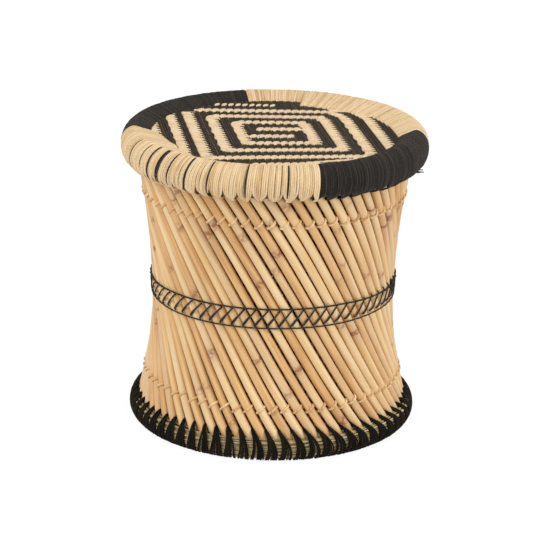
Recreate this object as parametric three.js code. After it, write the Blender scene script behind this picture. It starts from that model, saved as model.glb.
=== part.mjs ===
// A mudda stool: two layers of reeds that lean opposite ways between a wound rim and a lashed base ring,
// a laced waist and a woven seat. Millimetres, +Z up, the origin on the floor under the middle of the seat.
import * as THREE from 'three';

// Overall sizes
const stoolHeight = 416;
const rimOuterRadius = 210;
const baseOuterRadius = 200;
const waistOuterRadius = 167.5;
const waistHeightShare = 0.3966;

// Rim and base ring sections, over their windings, and how far they stand out from the reeds
const rimWidth = 45;
const rimHeight = 54;
const rimCoverWidth = 22.2;
const baseRingHeight = 30;
const baseCoverWidth = 11;

// Reeds
const reedCount = 66;
const reedsPerPanel = 6;
const outerReedDiameter = 11;
const innerReedDiameter = 10;
const reedLeanGaps = 12;
const topFlarePower = 2;
const footFlarePower = 1.7;
const reedEndLength = 5;
const reedLashingHeight = 3;
const reedSteps = 3;
const outerReedSides = 6;
const innerReedSides = 5;

// Windings: a flat band of cord turns that draws together into a bunch between two reeds
const windingThickness = 2.4;
const bunchWidth = 2.4;
const rimTurnShare = 0.95;
const baseTurnShare = 0.62;
const rimFrontTurns = 19;
const rimRightTurns = 13;
const rimBackTurns = 20;
const rimLeftTurns = 14;
const rimFrontFirstGap = 33;
const baseSections = 3;

// Places of a turn: shares of the ring's reach across and up, of the full spread, and of the way to the next gap
const rimPlaceShares = [
  [0.78, -0.66, 0.85, 0.12],
  [1, 0, 1, 0.3],
  [0.8, 0.62, 1, 0.42],
  [0.26, 1, 1, 0.54],
  [-0.78, 0.62, 1, 0.68],
  [-1, 0.15, 1, 0.8],
];
const basePlaceShares = [
  [0, 1, 1, 0.2],
  [0.2, 0, 1, 0.35],
  [0.8, 0, 1, 0.6],
  [1, 1, 0.9, 0.8],
];

// Twines and the laced waist: the twines lie this far from the rim and the base ring
const twineDiameter = 3;
const twineDistanceHeight = 36;
const waistCordDiameter = 2.5;
const waistBandHeight = 27.1;
const waistBandRiseHeight = 14.7;
const waistKnotDepth = 6;
const waistKnotWidth = 12;
const waistKnotHeight = 28;
const waistKnotAngle = -0.1;
const waistKnotSides = 8;

// Seat
const seatThickness = 9;
const seatDepthBelowRim = 13;

// Clearances between pieces
const gap = 0.3;
const windingClearance = 0.7;

const gapAngle = 2 * Math.PI / reedCount;
const circleSteps = reedCount * 2 / 3;
const cordCircleSteps = reedCount / 2;
const cordSides = 4;
const lacingSides = 3;
const gapSamples = 8;

const black = { color: '#262423', roughness: 0.85, metalness: 0 };
const natural = { color: '#dcbc8c', roughness: 0.9, metalness: 0 };
const straw = { color: '#c4bd88', roughness: 0.9, metalness: 0 };
const reed = { color: '#dfb982', roughness: 0.55, metalness: 0 };
const reedShade = { color: '#c69a62', roughness: 0.65, metalness: 0 };

// How far a flat facet of a faceted circle lies inside that circle.
function facetSag(radius, steps = circleSteps) {
  return radius * (1 - Math.cos(Math.PI / steps));
}

function polar(radius, angle, height) {
  return new THREE.Vector3(radius * Math.cos(angle), radius * Math.sin(angle), height);
}

function fromFaces(points, faces) {
  const geometry = new THREE.BufferGeometry();
  const positions = points.flatMap((point) => point.toArray());
  geometry.setAttribute('position', new THREE.Float32BufferAttribute(positions, 3));
  geometry.setIndex(faces);
  return geometry;
}

// Joins rings of points into one closed skin. Each ring turns left about the direction of travel.
function skin(rings, closed = false) {
  const sides = rings[0].length;
  const faces = [];
  const spans = closed ? rings.length : rings.length - 1;
  for (let i = 0; i < spans; i += 1) {
    const here = i * sides;
    const next = ((i + 1) % rings.length) * sides;
    for (let j = 0; j < sides; j += 1) {
      const k = (j + 1) % sides;
      faces.push(here + j, here + k, next + k, here + j, next + k, next + j);
    }
  }
  if (!closed) {
    const end = (rings.length - 1) * sides;
    for (let j = 1; j < sides - 1; j += 1) {
      faces.push(0, j + 1, j, end, end + j, end + j + 1);
    }
  }
  return fromFaces(rings.flat(), faces);
}

// A ring of points round a centre, its first point on the side that faces away from the axis.
function crossSection(centre, travel, radius, sides, upright = 1) {
  const outward = new THREE.Vector3(centre.x, centre.y, 0).normalize();
  const across = new THREE.Vector3().crossVectors(travel, outward).normalize();
  const away = new THREE.Vector3().crossVectors(across, travel).normalize();
  const ring = [];
  for (let i = 0; i < sides; i += 1) {
    const angle = 2 * Math.PI * i / sides;
    const point = centre.clone().addScaledVector(away, radius * Math.cos(angle));
    ring.push(point.addScaledVector(across, radius * upright * Math.sin(angle)));
  }
  return ring;
}

const stool = new THREE.Group();

function addPiece(name, geometry, finish) {
  geometry.computeVertexNormals();
  const piece = new THREE.Mesh(geometry, new THREE.MeshStandardMaterial(finish));
  piece.name = name;
  stool.add(piece);
}

// Where the windings pass between the reeds: under the rim and over the base ring.
const rimPassHeight = stoolHeight - rimHeight + windingThickness / 2;
const basePassHeight = baseRingHeight - windingThickness / 2;
const reedTop = rimPassHeight + reedEndLength;
const reedFoot = basePassHeight - reedEndLength;
const reedTopRadius = rimOuterRadius - rimCoverWidth;
const reedFootRadius = baseOuterRadius - baseCoverWidth;
const waistHeight = stoolHeight * waistHeightShare;

// Radius of the outer face of the reeds at a height, drawn in at the waist.
function reedReach(height) {
  if (height > waistHeight) {
    const share = (height - waistHeight) / (reedTop - waistHeight);
    return waistOuterRadius + (reedTopRadius - waistOuterRadius) * share ** topFlarePower;
  }
  const share = (waistHeight - height) / (waistHeight - reedFoot);
  return waistOuterRadius + (reedFootRadius - waistOuterRadius) * share ** footFlarePower;
}

// How far round a reed has turned at a height. At both passes the gaps of the two layers line up.
function reedTurn(height) {
  return reedLeanGaps * gapAngle * (rimPassHeight - height) / (rimPassHeight - basePassHeight);
}

const outerLayer = {
  name: 'outer',
  lean: 1,
  radius: outerReedDiameter / 2,
  inset: outerReedDiameter / 2,
  sides: outerReedSides,
  finish: reed,
};
const innerLayer = {
  name: 'inner',
  lean: -1,
  radius: innerReedDiameter / 2,
  inset: outerReedDiameter + gap + innerReedDiameter / 2,
  sides: innerReedSides,
  finish: reedShade,
};

// Heights of the level cuts through a reed. Between them it runs straight.
const reedCuts = [];
for (let i = 0; i <= reedSteps; i += 1) {
  reedCuts.push(reedFoot + (reedTop - reedFoot) * i / reedSteps);
}
reedCuts.splice(reedSteps, 0, reedTop - reedLashingHeight);

// A reed's middle at a height.
function reedMiddle(layer, index, height) {
  return polar(reedReach(height) - layer.inset, index * gapAngle + layer.lean * reedTurn(height), height);
}

// A level cut through a reed: a circle made wider along the ring by the reed's lean.
function reedCut(layer, index, height) {
  const middle = reedMiddle(layer, index, height);
  const away = new THREE.Vector3(middle.x, middle.y, 0);
  const slope = reedLeanGaps * gapAngle * away.length() / (rimPassHeight - basePassHeight);
  const wide = Math.hypot(1, slope);
  away.normalize();
  const along = new THREE.Vector3(-away.y, away.x, 0);
  const points = [];
  for (let i = 0; i < layer.sides; i += 1) {
    const angle = 2 * Math.PI * i / layer.sides;
    const point = middle.clone().addScaledVector(away, layer.radius * Math.cos(angle));
    points.push(point.addScaledVector(along, layer.radius * wide * Math.sin(angle)));
  }
  return points;
}

// Reeds stand in panels. At the head, a lashing joins each reed's side to the side of the next.
function reedPanel(layer, firstReed) {
  const sides = layer.sides;
  const points = [];
  const faces = [];
  const top = reedCuts.length - 1;
  const corner = (i, cut, j) => (i * reedCuts.length + cut) * sides + j;
  const quad = (a, b, c, d) => faces.push(a, b, c, a, c, d);
  for (let i = 0; i < reedsPerPanel; i += 1) {
    points.push(...reedCuts.flatMap((height) => reedCut(layer, firstReed + i, height)));
    const tied = (cut, j) => cut === top - 1 && (
      (j === 1 && i < reedsPerPanel - 1) || (j === sides - 2 && i > 0));
    for (let cut = 0; cut < top; cut += 1) {
      for (let j = 0; j < sides; j += 1) {
        const k = (j + 1) % sides;
        if (!tied(cut, j)) {
          quad(corner(i, cut, j), corner(i, cut, k), corner(i, cut + 1, k), corner(i, cut + 1, j));
        }
      }
    }
    for (let j = 1; j < sides - 1; j += 1) {
      faces.push(corner(i, 0, 0), corner(i, 0, j + 1), corner(i, 0, j));
      faces.push(corner(i, top, 0), corner(i, top, j), corner(i, top, j + 1));
    }
  }
  for (let i = 0; i < reedsPerPanel - 1; i += 1) {
    const here = (cut, j) => corner(i, cut, j);
    const next = (cut, j) => corner(i + 1, cut, sides - j);
    const low = top - 1;
    quad(here(low, 1), next(low, 1), next(top, 1), here(top, 1));
    quad(next(low, 2), here(low, 2), here(top, 2), next(top, 2));
    quad(here(top, 1), next(top, 1), next(top, 2), here(top, 2));
    quad(here(low, 2), next(low, 2), next(low, 1), here(low, 1));
  }
  return fromFaces(points, faces);
}

for (const layer of [outerLayer, innerLayer]) {
  for (let i = 0; i < reedCount / reedsPerPanel; i += 1) {
    const number = String(i + 1).padStart(2, '0');
    addPiece(`${layer.name}_reeds_${number}`, reedPanel(layer, i * reedsPerPanel), layer.finish);
  }
}

// A closed outline in radius and height, moved to its inner side, its corners kept sharp.
function cornerDirections(outline) {
  const count = outline.length;
  return outline.map((point, i) => {
    const before = outline[(i + count - 1) % count];
    const after = outline[(i + 1) % count];
    const arrive = new THREE.Vector2(point.radius - before.radius, point.height - before.height).normalize();
    const leave = new THREE.Vector2(after.radius - point.radius, after.height - point.height).normalize();
    const outward = new THREE.Vector2(arrive.y + leave.y, -arrive.x - leave.x).normalize();
    return outward.divideScalar(outward.dot(new THREE.Vector2(leave.y, -leave.x)));
  });
}

function insetOutline(outline, distance) {
  const corners = cornerDirections(outline);
  return outline.map((point, i) => new THREE.Vector2(
    point.radius - corners[i].x * distance,
    point.height - corners[i].y * distance,
  ));
}

// The point at a height on the straight run between two points of an outline.
function atHeight(first, second, height) {
  return first.clone().lerp(second, (height - first.y) / (second.y - first.y));
}

// A flat band of cord at one place of its outline.
function bandRing(place, corner, angle, turnShare) {
  const width = bunchWidth + place.spread * (turnShare * gapAngle * place.radius - bunchWidth);
  const centre = polar(place.radius, angle, place.height);
  const away = polar(corner.x, angle, corner.y).multiplyScalar(windingThickness / 2);
  const across = polar(width / 2, angle + Math.PI / 2, 0);
  const ring = [[1, -1], [1, 1], [-1, 1], [-1, -1]];
  return ring.map(([a, b]) => centre.clone().addScaledVector(away, a).addScaledVector(across, b));
}

// One unbroken winding: a turn for each gap between two reeds, drawn into a bunch where it goes through.
function winding(turn, firstGap, turns, turnShare, start) {
  const corners = cornerDirections(turn);
  const startAngle = (firstGap + 1 / 2) * gapAngle;
  const rings = [bandRing(start.place, start.corner, startAngle, turnShare)];
  for (let i = 0; i < turns; i += 1) {
    for (const [j, place] of turn.entries()) {
      rings.push(bandRing(place, corners[j], startAngle + (i + place.along) * gapAngle, turnShare));
    }
  }
  const last = turn[turn.length - 1];
  const before = turn[turn.length - 2];
  const arrive = new THREE.Vector2(last.radius - before.radius, last.height - before.height).normalize();
  const endCorner = new THREE.Vector2(arrive.y, -arrive.x);
  rings[rings.length - 1] = bandRing(last, endCorner, startAngle + turns * gapAngle, turnShare);
  console.log(`${turns} turns, least gap ${leastTurnGap(rings, turn.length).toFixed(2)} mm`);
  return skin(rings);
}

// Least distance between one turn's edge and the next turn's, on points along both edges.
function leastTurnGap(rings, placesPerTurn) {
  const edge = (index, side) => rings[index][side];
  let least = Infinity;
  for (let i = 1; i + placesPerTurn + 1 < rings.length; i += 1) {
    for (let step = 0; step < gapSamples; step += 1) {
      const share = step / gapSamples;
      const point = edge(i, 1).clone().lerp(edge(i + 1, 1), share);
      for (let other = -1; other <= 1; other += 1) {
        const j = i + placesPerTurn + other;
        const run = new THREE.Line3(edge(j, 0), edge(Math.min(j + 1, rings.length - 1), 0));
        const nearest = run.closestPointToPoint(point, true, new THREE.Vector3());
        least = Math.min(least, point.distanceTo(nearest));
      }
    }
  }
  return least;
}

function ring(profile) {
  const outline = [...profile, profile[0]];
  const geometry = new THREE.LatheGeometry(outline, circleSteps);
  geometry.rotateX(Math.PI / 2);
  return geometry;
}

function reedInnerReach(height) {
  return reedReach(height) - innerLayer.inset - innerLayer.radius;
}

// Middle line of one rim turn, from outside the reeds, over the rim, to inside the reeds.
// Spread is the width as a share of a whole turn, and along is the share of the way to the next gap.
const rimMiddle = new THREE.Vector2(rimOuterRadius - rimWidth / 2, stoolHeight - rimHeight / 2);
const rimReach = new THREE.Vector2(rimWidth / 2 - windingThickness / 2, rimHeight / 2 - windingThickness / 2);

function onRim(acrossShare, upShare, spread, along) {
  const radius = rimMiddle.x + rimReach.x * acrossShare;
  return { radius, height: rimMiddle.y + rimReach.y * upShare, spread, along };
}

const rimTurn = [
  { radius: reedTopRadius + windingClearance + windingThickness, height: rimPassHeight, spread: 0, along: 0 },
  ...rimPlaceShares.map((shares) => onRim(...shares)),
  {
    radius: reedInnerReach(rimPassHeight) - windingClearance - windingThickness / 2,
    height: rimPassHeight,
    spread: 0,
    along: 1,
  },
];

// Middle line of one base turn, from inside the reeds, under the ring, to outside the reeds.
const baseReach = baseOuterRadius - windingThickness / 2;
const baseInside = reedInnerReach(basePassHeight) - windingClearance - windingThickness / 2;

function onBase(acrossShare, upShare, spread, along) {
  const radius = baseInside + (baseReach - baseInside) * acrossShare;
  const height = windingThickness / 2 + (baseRingHeight - windingThickness) / 2 * upShare;
  return { radius, height, spread, along };
}

const baseOutside = reedFootRadius + windingClearance + windingThickness;
const baseTurn = [
  { radius: baseInside, height: basePassHeight, spread: 0, along: 0 },
  ...basePlaceShares.map((shares) => onBase(...shares)),
  { radius: baseOutside, height: basePassHeight, spread: 0, along: 1 },
];

// Hoop inside the rim: a padded bundle, with a step on its underside that the reed ends stand in.
const coreInset = windingThickness / 2 + windingClearance;
const rimInset = insetOutline(rimTurn, coreInset);
const rimSeat = reedTop + gap;
const rimWall = reedTopRadius + gap + facetSag(reedTopRadius);
addPiece('rim_hoop', ring([
  ...rimInset.slice(0, -1),
  atHeight(rimInset[rimInset.length - 2], rimInset[rimInset.length - 1], rimSeat),
  new THREE.Vector2(rimWall, rimSeat),
  new THREE.Vector2(rimWall, rimInset[0].y),
]), natural);

// Grass bundle inside the base ring: the reeds stand in the step on its top.
const baseInset = insetOutline(baseTurn, coreInset);
const baseSeat = reedFoot - gap;
const baseWall = reedFootRadius + gap + facetSag(reedFootRadius);
addPiece('base_grass_bundle', ring([
  atHeight(baseInset[0], baseInset[1], baseSeat),
  ...baseInset.slice(1),
  new THREE.Vector2(baseWall, baseInset[baseInset.length - 1].y),
  new THREE.Vector2(baseWall, baseSeat),
]), straw);

const outwardPass = {
  place: { radius: reedInnerReach(rimPassHeight) + innerLayer.radius, height: rimPassHeight, spread: 0 },
  corner: new THREE.Vector2(0, -1),
};
const inwardPass = {
  place: { radius: reedFootRadius - outerLayer.radius, height: basePassHeight, spread: 0 },
  corner: new THREE.Vector2(0, 1),
};
const rimSections = [
  ['rim_wrap_front', rimFrontTurns, natural],
  ['rim_wrap_right', rimRightTurns, black],
  ['rim_wrap_back', rimBackTurns, natural],
  ['rim_wrap_left', rimLeftTurns, black],
];
let nextGap = rimFrontFirstGap;
for (const [name, turns, finish] of rimSections) {
  addPiece(name, winding(rimTurn, nextGap, turns, rimTurnShare, outwardPass), finish);
  nextGap += turns;
}
for (let i = 0; i < baseSections; i += 1) {
  const turns = reedCount / baseSections;
  const wrap = winding(baseTurn, i * turns, turns, baseTurnShare, inwardPass);
  addPiece(`base_wrap_${i + 1}`, wrap, black);
}

// Seat: a web of flat rope that fills the rim, bevelled at its edge to the inner side of the winding.
const rimInnerFace = insetOutline(rimTurn, -windingThickness / 2);
const seatTop = stoolHeight - seatDepthBelowRim;
const seatEdge = (height) => {
  const face = atHeight(rimInnerFace[rimInnerFace.length - 3], rimInnerFace[rimInnerFace.length - 2], height);
  return new THREE.Vector2(face.x - gap, height);
};
addPiece('seat_web', ring([
  new THREE.Vector2(0, seatTop - seatThickness),
  seatEdge(seatTop - seatThickness),
  seatEdge(seatTop),
  new THREE.Vector2(0, seatTop),
]), natural);

// Radius of a round cord's middle where it lies on the straight runs of the outer reeds.
function cordRadius(height, diameter) {
  const above = reedCuts.findIndex((cut) => cut >= height);
  const low = reedMiddle(outerLayer, 0, reedCuts[above - 1]);
  const high = reedMiddle(outerLayer, 0, reedCuts[above]);
  const middle = low.clone().lerp(high, (height - low.z) / (high.z - low.z));
  return Math.hypot(middle.x, middle.y) + outerLayer.radius + gap + diameter / 2;
}

function hoopCord(height, diameter) {
  const radius = cordRadius(height, diameter);
  const roundTrue = radius + facetSag(radius, cordCircleSteps);
  const cord = new THREE.TorusGeometry(roundTrue, diameter / 2, cordSides, cordCircleSteps);
  return cord.translate(0, 0, height);
}

const upperTwineHeight = stoolHeight - rimHeight - twineDistanceHeight;
const lowerTwineHeight = baseRingHeight + twineDistanceHeight;
const lowerWaistCordHeight = waistHeight + waistBandRiseHeight;
const upperWaistCordHeight = lowerWaistCordHeight + waistBandHeight;
addPiece('upper_twine', hoopCord(upperTwineHeight, twineDiameter), natural);
addPiece('lower_twine', hoopCord(lowerTwineHeight, twineDiameter), natural);
addPiece('upper_waist_cord', hoopCord(upperWaistCordHeight, waistCordDiameter), black);
addPiece('lower_waist_cord', hoopCord(lowerWaistCordHeight, waistCordDiameter), black);

// Lacing: one cord that zigzags between the waist cords, a stroke up and a stroke down for each reed.
const waistMiddle = (upperWaistCordHeight + lowerWaistCordHeight) / 2;
const lacingRadius = cordRadius(waistMiddle, waistCordDiameter) + facetSag(waistOuterRadius, reedCount);
const lacingRun = gapAngle * lacingRadius / 2;
const lacingRoom = upperWaistCordHeight - lowerWaistCordHeight - waistCordDiameter - 2 * gap;
const lacingRise = lacingRoom / 2 / (1 + waistCordDiameter / lacingRun);
const lacingRings = [];
for (let i = 0; i < 2 * reedCount; i += 1) {
  const angle = i * gapAngle / 2;
  const point = polar(lacingRadius, angle, waistMiddle + (i % 2 === 0 ? -1 : 1) * lacingRise);
  const travel = polar(1, angle + Math.PI / 2, 0);
  const upright = lacingRise * 2 / lacingRun;
  lacingRings.push(crossSection(point, travel, waistCordDiameter / 2, lacingSides, upright));
}
addPiece('waist_lacing', skin(lacingRings, true), black);

// Knot where the waist cords end: a lump of cord that lies on the lacing.
const knotRadius = lacingRadius + waistCordDiameter / 2 + gap + waistKnotDepth / 2;
const knotMiddle = polar(knotRadius, waistKnotAngle, waistMiddle);
const knot = new THREE.SphereGeometry(1 / 2, waistKnotSides, waistKnotSides / 2);
knot.scale(waistKnotDepth, waistKnotWidth, waistKnotHeight).rotateZ(waistKnotAngle);
addPiece('waist_knot', knot.translate(knotMiddle.x, knotMiddle.y, knotMiddle.z), black);

export default stool;
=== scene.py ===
# %% [markdown]
# # A mudda stool: reeds, cords and a woven seat
# A mudda is made by hand: two layers of reeds lean opposite ways round a ring, a fat rim and a base of grass
# are bound on with cord, and a seat is woven inside the rim. Nothing on it moves, so every piece rides on
# "root". The CAD frame gives each part's place. This script dresses it with reeds, cords and strands.

# %% Load the frame
import math

import bpy
import numpy as np
from mathutils import Matrix, Vector


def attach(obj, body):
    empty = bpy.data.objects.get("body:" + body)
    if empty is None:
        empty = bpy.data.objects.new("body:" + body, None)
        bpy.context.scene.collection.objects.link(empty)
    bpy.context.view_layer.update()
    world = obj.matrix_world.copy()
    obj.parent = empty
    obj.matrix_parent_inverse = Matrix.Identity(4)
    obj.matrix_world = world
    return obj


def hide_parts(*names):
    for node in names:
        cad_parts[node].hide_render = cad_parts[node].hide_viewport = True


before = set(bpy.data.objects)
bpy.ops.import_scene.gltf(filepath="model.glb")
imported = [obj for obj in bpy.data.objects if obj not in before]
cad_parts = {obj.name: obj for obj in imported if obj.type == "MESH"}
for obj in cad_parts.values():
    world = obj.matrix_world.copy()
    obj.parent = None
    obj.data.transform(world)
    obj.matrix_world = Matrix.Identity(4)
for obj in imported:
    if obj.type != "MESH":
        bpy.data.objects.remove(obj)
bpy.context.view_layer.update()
SEED = 66
draw = np.random.default_rng(SEED)
print(len(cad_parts), "CAD nodes")

# %% [markdown]
# ## The camera
# The camera stands where the photograph was taken: 2.9 m in front, 1.2 m up, looking down about 19 degrees,
# with a long lens. It could be aimed with a constraint, but a matrix built from its pitch and roll says it
# exactly.

# %% Camera
eye = Vector((0.00276, -2.864, 1.1844))
pitch, roll = 0.332, 0.0159
focal_pixels, image_pixels, sensor = 2176, 550, 36

gaze = Vector((0, math.cos(pitch), -math.sin(pitch)))
level = Vector((1, 0, 0))
upright = level.cross(gaze)
camera_x = math.cos(roll) * level + math.sin(roll) * upright
camera_y = math.cos(roll) * upright - math.sin(roll) * level

lens = bpy.data.cameras.new("photo_camera")
lens.sensor_width = sensor
lens.lens = focal_pixels * sensor / image_pixels
camera = bpy.data.objects.new("photo_camera", lens)
camera.matrix_world = Matrix.Translation(eye) @ Matrix((camera_x, camera_y, -gaze)).transposed().to_4x4()
bpy.context.collection.objects.link(camera)
bpy.context.scene.camera = camera
print("lens", round(lens.lens, 1), "mm")

# %% [markdown]
# ## Cords and reeds as tubes
# Everything on this stool is a strand: a reed, a cord, a stalk. A curve with a bevel could make one, but
# numpy can make hundreds at once and keep, for each point, where it is on its strand. The finishes read that
# place. Lengths are in millimetres from here on, and points become metres when a piece's mesh is made.

# %% A tube along a path
MM = 0.001
TURN = 2 * np.pi
PATTERN_LENGTH = 9000


def unit(vectors):
    """Each vector divided by its own length."""
    return vectors / np.linalg.norm(vectors, axis=-1, keepdims=True)


def tube(paths, wide, deep, out, sides, closed=False, travel=None, look=(0.5, 0, 0)):
    """Skins of many strands. The point at angle a of a ring is centre + side*wide*cos(a) + rise*deep*sin(a).
    side is travel x out, and rise is side x travel. paths is (strands, points, 3), look gives each point a
    tone and two marks, and each strand begins at a random place in the finish's pattern."""
    strands, count = paths.shape[:2]
    if travel is None:
        travel = np.roll(paths, -1, 1) - np.roll(paths, 1, 1) if closed else np.gradient(paths, axis=1)
    travel = unit(travel)
    side = unit(np.cross(travel, np.broadcast_to(out, paths.shape)))
    rise = np.cross(side, travel)
    angle = TURN * np.arange(sides) / sides
    wide, deep = (np.broadcast_to(size, (strands, count))[..., None, None] for size in (wide, deep))
    cos, sin = np.cos(angle)[:, None], np.sin(angle)[:, None]
    points = paths[:, :, None] + wide * cos * side[:, :, None] + deep * sin * rise[:, :, None]
    steps = np.linalg.norm(np.diff(paths, axis=1), axis=-1)
    along = np.concatenate([np.zeros((strands, 1)), np.cumsum(steps, axis=1)], axis=1)
    along = along + draw.uniform(0, PATTERN_LENGTH, (strands, 1))
    shape = (strands, count, sides)
    place = (cos[:, 0], sin[:, 0], along[..., None])
    strand = np.stack([np.broadcast_to(value, shape) for value in place], -1)
    looks = [np.broadcast_to(value, (strands, count))[..., None] for value in look]
    looks = np.stack([np.broadcast_to(value, shape) for value in looks], -1)
    index = np.arange(strands * count * sides).reshape(shape)
    here, ahead = (index, np.roll(index, -1, 1)) if closed else (index[:, :-1], index[:, 1:])
    quads = np.stack([here, ahead, np.roll(ahead, -1, 2), np.roll(here, -1, 2)], -1).reshape(-1, 4)
    faces = [quads] if closed else [quads, index[:, 0], index[:, -1, ::-1]]
    return points.reshape(-1, 3), strand.reshape(-1, 3), looks.reshape(-1, 3), faces


# %% A piece from tubes
def piece(name, tubes, finish, slot, *covers):
    """Joins tubes into one mesh, carries their strand and look values on it, and hands it to the frame."""
    points, strands, looks, blocks = zip(*tubes)
    firsts = np.cumsum([0] + [len(group) for group in points])
    faces = [block + first for first, group in zip(firsts, blocks) for block in group]
    sizes = np.concatenate([np.full(len(block), block.shape[1]) for block in faces])
    mesh = bpy.data.meshes.new(name)
    mesh.vertices.add(int(firsts[-1]))
    mesh.vertices.foreach_set("co", np.concatenate(points).ravel() * MM)
    mesh.loops.add(int(sizes.sum()))
    mesh.loops.foreach_set("vertex_index", np.concatenate([block.ravel() for block in faces]))
    mesh.polygons.add(len(sizes))
    mesh.polygons.foreach_set("loop_start", np.cumsum(sizes) - sizes)
    mesh.polygons.foreach_set("use_smooth", np.ones(len(sizes), bool))
    mesh.update(calc_edges=True)
    for label, values in (("strand", strands), ("look", looks)):
        attribute = mesh.attributes.new(label, "FLOAT_VECTOR", "POINT")
        attribute.data.foreach_set("vector", np.concatenate(values).ravel())
    mesh.validate()
    mesh.materials.append(finish)
    made = bpy.data.objects.new(name, mesh)
    bpy.context.collection.objects.link(made)
    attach(made, "root")
    if covers:
        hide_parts(*covers)
    print(name, int((sizes - 2).sum()), "triangles")


# %% Places and directions round the stool
def polar(radius, angle, height):
    """Points from a radius, an angle round the stool and a height: (r cos a, r sin a, z)."""
    return np.stack(np.broadcast_arrays(radius * np.cos(angle), radius * np.sin(angle), height), -1)


def outward(angle):
    """Level directions away from the stool's axis: (cos a, sin a, 0)."""
    return np.stack([np.cos(angle), np.sin(angle), np.zeros_like(angle)], -1)


def fade(value, start, end):
    """0 up to start, 1 past end, and a straight line between them. end may be the smaller of the two."""
    return np.clip((value - start) / (end - start), 0, 1)


# %% [markdown]
# ## Finishes
# A finish starts from a Principled shader. Its colour and bump come from noise that is stretched along the
# strand, because cane fibres and cord fibres run lengthwise. The strand attribute holds the cosine and sine
# round the strand and the millimetres along it, so the noise has no seam, as UVs would have. The look
# attribute holds a tone for each strand and, on a reed, how near a node is and how stained the skin is.

# %% Node helpers
def srgb(red, green, blue):
    """A colour written as a screen shows it, 0 to 255, turned into linear light."""
    return [((c / 255 + 0.055) / 1.055) ** 2.4 for c in (red, green, blue)] + [1]


def add(tree, kind, inputs=(), **settings):
    """One node. An input given as a socket is linked, and any other value is set."""
    made = tree.nodes.new("ShaderNode" + kind)
    for key, value in settings.items():
        setattr(made, key, value)
    for key, value in dict(inputs).items():
        if isinstance(value, bpy.types.NodeSocket):
            tree.links.new(value, made.inputs[key])
        else:
            made.inputs[key].default_value = value
    return made


def calc(tree, operation, first, second=0.0):
    """One Math node's result."""
    return add(tree, "Math", {0: first, 1: second}, operation=operation).outputs[0]


def weigh(tree, total, *terms):
    """total + the sum of value * weight, for (value, weight) pairs."""
    for value, weight in terms:
        total = add(tree, "Math", {0: value, 1: weight, 2: total}, operation="MULTIPLY_ADD").outputs[0]
    return total


def noise(tree, vector, scale, detail=2):
    """Noise of a vector that is first scaled on each axis. Its middle is 0.5."""
    mapped = add(tree, "Mapping", {"Vector": vector, "Scale": scale}).outputs[0]
    return add(tree, "TexNoise", {"Vector": mapped, "Scale": 1, "Detail": detail}).outputs["Fac"]


def ramp(tree, factor, *stops):
    """A colour ramp from (place, colour) pairs."""
    made = add(tree, "ValToRGB", {"Fac": factor})
    while len(made.color_ramp.elements) < len(stops):
        made.color_ramp.elements.new(0.5)
    for element, (place, colour) in zip(made.color_ramp.elements, stops):
        element.position, element.color = place, colour
    return made.outputs[0]


def blend_colour(tree, factor, first, second):
    """Mixes two colours by a factor."""
    return add(tree, "MixRGB", {0: factor, 1: first, 2: second}).outputs[0]


def bump(tree, shader, height, strength, distance):
    """Feeds a height to the shader as a bump, its distance in metres."""
    made = add(tree, "Bump", {"Height": height, "Strength": strength, "Distance": distance})
    tree.links.new(made.outputs[0], shader.inputs["Normal"])


# %% New materials
def new_material(name, roughness, gloss=0.5):
    """A material with its tree and its shader."""
    material = bpy.data.materials.new(name)
    material.use_nodes = True
    shader = material.node_tree.nodes["Principled BSDF"]
    shader.inputs["Roughness"].default_value = roughness
    shader.inputs["Specular IOR Level"].default_value = gloss
    return material, material.node_tree, shader


def strand_values(tree):
    """The strand attribute, and the three values of the look attribute."""
    strand = add(tree, "Attribute", attribute_name="strand").outputs["Vector"]
    look = add(tree, "Attribute", attribute_name="look").outputs["Vector"]
    return strand, add(tree, "SeparateXYZ", {0: look}).outputs


# %% Reed finish
def reed_finish(name, pale, gold, tan, blush, brown):
    """Cane skin: a tone for each reed, long streaks, and brown rings with a blotch and a long stain at the
    nodes. A noise's scales are round the reed, twice, and along it, in 1/mm."""
    material, tree, shader = new_material(name, 0.42)
    strand, (tone, node_ring, stain) = strand_values(tree)
    streak = noise(tree, strand, (1.1, 1.1, 0.012), 3)
    thread = noise(tree, strand, (7, 7, 0.05), 2)
    patch = noise(tree, strand, (1.3, 1.3, 0.22), 3)
    shade = weigh(tree, -0.65, (tone, 0.55), (streak, 1.5))
    skin = ramp(tree, shade, (0.0, pale), (0.42, gold), (0.85, tan))
    skin = blend_colour(tree, calc(tree, "MULTIPLY", thread, 0.2), skin, tan)
    skin = blend_colour(tree, calc(tree, "MULTIPLY", stain, 0.6), skin, blush)
    blotch = calc(tree, "MULTIPLY", calc(tree, "SUBTRACT", patch, 0.36), 4.5)
    blotch = calc(tree, "MAXIMUM", calc(tree, "MINIMUM", blotch, 1), 0)
    blotch = calc(tree, "MULTIPLY", blotch, node_ring)
    skin = blend_colour(tree, calc(tree, "MINIMUM", blotch, 0.85), skin, brown)
    tree.links.new(skin, shader.inputs["Base Color"])
    bump(tree, shader, calc(tree, "SUBTRACT", thread, blotch), 0.35, 0.0004)
    return material


outer_reed_skin = reed_finish("outer_reed_skin", srgb(247, 218, 170), srgb(238, 195, 134), srgb(208, 156, 96),
                              srgb(202, 158, 118), srgb(146, 86, 50))
# The inner reeds are the same straw cane as the outer ones. These dark browns are painted shade, for the
# inside of the stool seen through the gaps between the outer reeds.
inner_reed_painted_shade = reed_finish("inner_reed_painted_shade", srgb(160, 116, 70), srgb(130, 88, 48), srgb(96, 60, 30),
                              srgb(110, 74, 46), srgb(66, 38, 20))


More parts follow.
